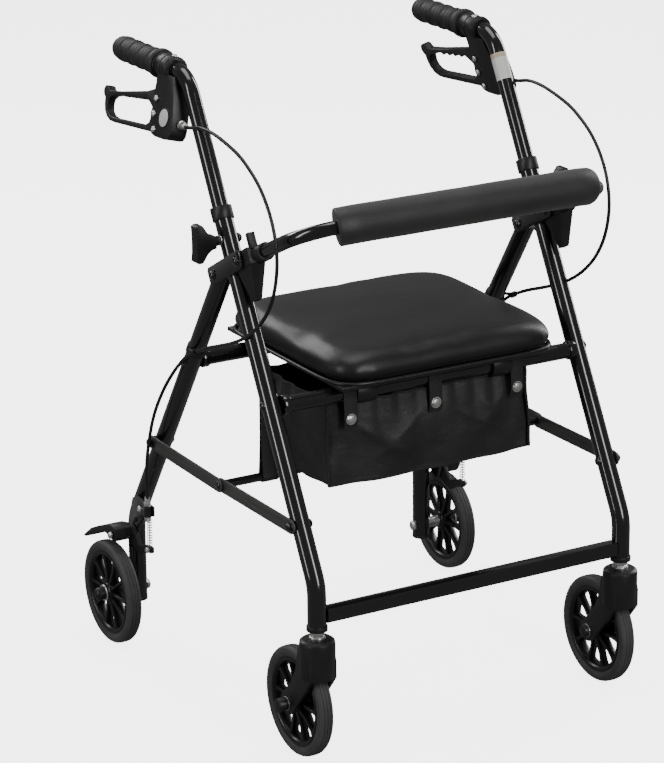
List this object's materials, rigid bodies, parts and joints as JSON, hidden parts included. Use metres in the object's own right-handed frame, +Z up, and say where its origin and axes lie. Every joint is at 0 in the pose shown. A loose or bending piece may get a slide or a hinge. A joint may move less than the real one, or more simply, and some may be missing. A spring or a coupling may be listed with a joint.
{
  "type": "rollator walker",
  "caption": "Folding walker on wheels with a padded lift-up seat over a bag, a foam backrest bar, height-adjustable handles and loop brakes.",
  "frame": {"origin": "middle of the footprint, on the floor", "axes": "+Z up, +Y from the casters towards the user who pushes it, +X to the user's left when facing -Y"},
  "size_m": [0.62, 0.6303, 0.894],
  "materials": {
    "black_paint": "glossy black powder coat",
    "black_plastic": "fine moulded grain",
    "grip_rubber": "satin ribbed rubber",
    "tyre_rubber": "matt solid tyre",
    "bright_steel": "bright zinc plate",
    "brace_paint": "satin grey paint",
    "seat_vinyl": "fine grained vinyl",
    "backrest_foam": "closed-cell foam skin",
    "bag_nylon": "plain woven nylon",
    "webbing": "woven webbing",
    "cable_sheath": "smooth plastic sheath"
  },
  "bodies": {
    "front_frame": {"front_leg_right": "black_paint", "hinge_bracket_right": "black_paint", "leg_collar_right": "black_plastic", "front_leg_left": "black_paint", "hinge_bracket_left": "black_paint", "leg_collar_left": "black_plastic", "front_crossbar": "black_paint", "seat_front_bar": "black_paint", "bag": "bag_nylon", "brake_cable_right": "cable_sheath", "brake_cable_left": "cable_sheath"},
    "backrest": {"backrest_tube": "black_paint", "backrest_pad": "backrest_foam", "backrest_socket_right": "black_plastic", "backrest_socket_left": "black_plastic"},
    "seat": {"seat_pad": "seat_vinyl", "seat_board": "black_plastic", "seat_hinge_clip_right": "black_plastic", "seat_hinge_clip_left": "black_plastic"},
    "rear_frame": {"seat_rear_bar": "black_paint", "rear_leg_right": "black_paint", "brake_bracket_right": "black_paint", "brake_spring_right": "bright_steel", "rear_leg_left": "black_paint", "brake_bracket_left": "black_paint", "brake_spring_left": "bright_steel"},
    "front_links": {"front_brace_right": "brace_paint", "front_brace_left": "brace_paint", "cross_rod": "black_paint", "pull_strap": "webbing"},
    "rear_links": {"rear_brace_right": "brace_paint", "rear_brace_left": "brace_paint"},
    "handle_right": {"handle_tube_right": "black_paint", "hand_grip_right": "grip_rubber", "brake_housing_right": "black_plastic", "cable_adjuster_right": "bright_steel"},
    "lever_right": {"brake_lever_right": "black_plastic"},
    "knob_right": {"height_knob_right": "black_plastic"},
    "brake_right": {"brake_arm_right": "black_plastic"},
    "caster_right": {"caster_fork_right": "black_plastic"},
    "caster_wheel_right": {"caster_hub_right": "black_plastic", "caster_tyre_right": "tyre_rubber"},
    "rear_wheel_right": {"rear_hub_right": "black_plastic", "rear_tyre_right": "tyre_rubber"},
    "handle_left": {"handle_tube_left": "black_paint", "hand_grip_left": "grip_rubber", "brake_housing_left": "black_plastic", "cable_adjuster_left": "bright_steel"},
    "lever_left": {"brake_lever_left": "black_plastic"},
    "knob_left": {"height_knob_left": "black_plastic"},
    "brake_left": {"brake_arm_left": "black_plastic"},
    "caster_left": {"caster_fork_left": "black_plastic"},
    "caster_wheel_left": {"caster_hub_left": "black_plastic", "caster_tyre_left": "tyre_rubber"},
    "rear_wheel_left": {"rear_hub_left": "black_plastic", "rear_tyre_left": "tyre_rubber"}
  },
  "joints": [
    {"name": "rear_frame_fold", "type": "hinge", "parent": "front_frame", "child": "rear_frame", "pos_m": [0, -0.04786, 0.62096], "axis": [-1, 0, 0], "range_deg": [0, 35], "deforming": ["bag", "brake_cable_right", "brake_cable_left", "pull_strap"]},
    {"name": "front_link_turn", "type": "hinge", "parent": "front_frame", "child": "front_links", "pos_m": [0, -0.24855, 0.3291], "axis": [1, 0, 0], "range_deg": [0, 45]},
    {"name": "rear_link_turn", "type": "hinge", "parent": "rear_frame", "child": "rear_links", "pos_m": [0, 0.14465, 0.3285], "axis": [-1, 0, 0], "range_deg": [0, 40.6]},
    {"name": "seat_lift", "type": "hinge", "parent": "front_frame", "child": "seat", "pos_m": [0, -0.18015, 0.472], "axis": [1, 0, 0], "range_deg": [0, 75]},
    {"name": "backrest_fold", "type": "hinge", "parent": "front_frame", "child": "backrest", "pos_m": [0, -0.11382, 0.65664], "axis": [-1, 0, 0], "range_deg": [0, 80]},
    {"name": "handle_height_right", "type": "slide", "parent": "front_frame", "child": "handle_right", "axis": [0, 0.4758, 0.8795], "range_m": [-0.1, 0.065], "deforming": ["brake_cable_right"]},
    {"name": "brake_lever_right", "type": "hinge", "parent": "handle_right", "child": "lever_right", "pos_m": [-0.25219, 0.09035, 0.831], "axis": [0.9659, 0, -0.2588], "range_deg": [0, 12], "stiffness_Nm_per_rad": 1, "springref_deg": -5.73},
    {"name": "knob_turn_right", "type": "hinge", "parent": "front_frame", "child": "knob_right", "pos_m": [-0.2408, -0.06288, 0.672], "axis": [-1, 0, 0], "continuous": true},
    {"name": "brake_arm_right", "type": "hinge", "parent": "rear_frame", "child": "brake_right", "pos_m": [-0.262, 0.21785, 0.171], "axis": [-1, 0, 0], "range_deg": [0, 8.1], "deforming": ["brake_spring_right"]},
    {"name": "caster_swivel_right", "type": "hinge", "parent": "front_frame", "child": "caster_right", "pos_m": [-0.2408, -0.28815, 0.2], "axis": [0, 0, 1], "continuous": true},
    {"name": "caster_wheel_spin_right", "type": "hinge", "parent": "caster_right", "child": "caster_wheel_right", "pos_m": [-0.2408, -0.23865, 0.076], "axis": [1, 0, 0], "continuous": true},
    {"name": "rear_wheel_spin_right", "type": "hinge", "parent": "rear_frame", "child": "rear_wheel_right", "pos_m": [-0.2826, 0.23865, 0.076], "axis": [1, 0, 0], "continuous": true},
    {"name": "handle_height_left", "type": "slide", "parent": "front_frame", "child": "handle_left", "axis": [0, 0.4758, 0.8795], "range_m": [-0.1, 0.065], "deforming": ["brake_cable_left"]},
    {"name": "brake_lever_left", "type": "hinge", "parent": "handle_left", "child": "lever_left", "pos_m": [0.25219, 0.09035, 0.831], "axis": [0.9659, 0, 0.2588], "range_deg": [0, 12], "stiffness_Nm_per_rad": 1, "springref_deg": -5.73},
    {"name": "knob_turn_left", "type": "hinge", "parent": "front_frame", "child": "knob_left", "pos_m": [0.2408, -0.06288, 0.672], "axis": [1, 0, 0], "continuous": true},
    {"name": "brake_arm_left", "type": "hinge", "parent": "rear_frame", "child": "brake_left", "pos_m": [0.262, 0.21785, 0.171], "axis": [-1, 0, 0], "range_deg": [0, 8.1], "deforming": ["brake_spring_left"]},
    {"name": "caster_swivel_left", "type": "hinge", "parent": "front_frame", "child": "caster_left", "pos_m": [0.2408, -0.28815, 0.2], "axis": [0, 0, 1], "continuous": true},
    {"name": "caster_wheel_spin_left", "type": "hinge", "parent": "caster_left", "child": "caster_wheel_left", "pos_m": [0.2408, -0.23865, 0.076], "axis": [1, 0, 0], "continuous": true},
    {"name": "rear_wheel_spin_left", "type": "hinge", "parent": "rear_frame", "child": "rear_wheel_left", "pos_m": [0.2826, 0.23865, 0.076], "axis": [1, 0, 0], "continuous": true}
  ],
  "couplings": [
    {"joint": "front_link_turn", "follows": "rear_frame_fold", "ratio": 1.2813},
    {"joint": "rear_link_turn", "follows": "rear_frame_fold", "ratio": 1.157},
    {"joint": "brake_arm_right", "follows": "brake_lever_right", "ratio": 0.6667},
    {"joint": "brake_arm_left", "follows": "brake_lever_left", "ratio": 0.6667}
  ]
}
